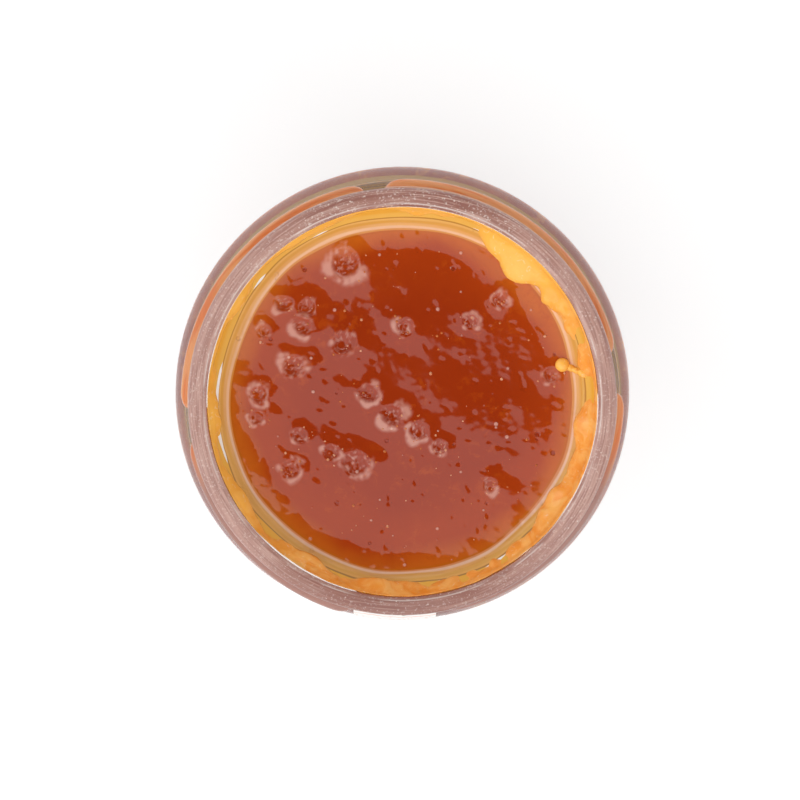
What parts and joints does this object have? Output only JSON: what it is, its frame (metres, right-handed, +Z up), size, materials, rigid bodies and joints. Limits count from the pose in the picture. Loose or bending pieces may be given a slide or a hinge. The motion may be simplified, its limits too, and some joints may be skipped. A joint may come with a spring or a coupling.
{
  "type": "jar of apricot jam",
  "caption": "Open round clear-glass twist-off jar filled with glossy apricot jam, with pulp stuck inside its neck and the end of a torn paper seal on its side.",
  "frame": {"origin": "centre of the base, on the plane that the jar stands on", "axes": "+Z up through the mouth, -Y towards the side with the paper seal, +X to the right of that side"},
  "size_m": [0.066, 0.0661, 0.084],
  "materials": {
    "clear_glass": "clear soda-lime glass with a faint grey-green tint, worn and dusty on the rim",
    "apricot_jam": "wet, glossy, deep red-orange set jam with pits left by bubbles",
    "apricot_pulp": "wet, opaque, light orange pulp",
    "seal_paper": "white coated paper with a faint orange line, torn at its free end"
  },
  "bodies": {
    "root": {"jar": "clear_glass", "jam": "apricot_jam", "smear_upper_right": "apricot_pulp", "smear_lower_right": "apricot_pulp", "smear_front": "apricot_pulp", "smear_left": "apricot_pulp", "paper_seal": "seal_paper"}
  },
  "joints": []
}
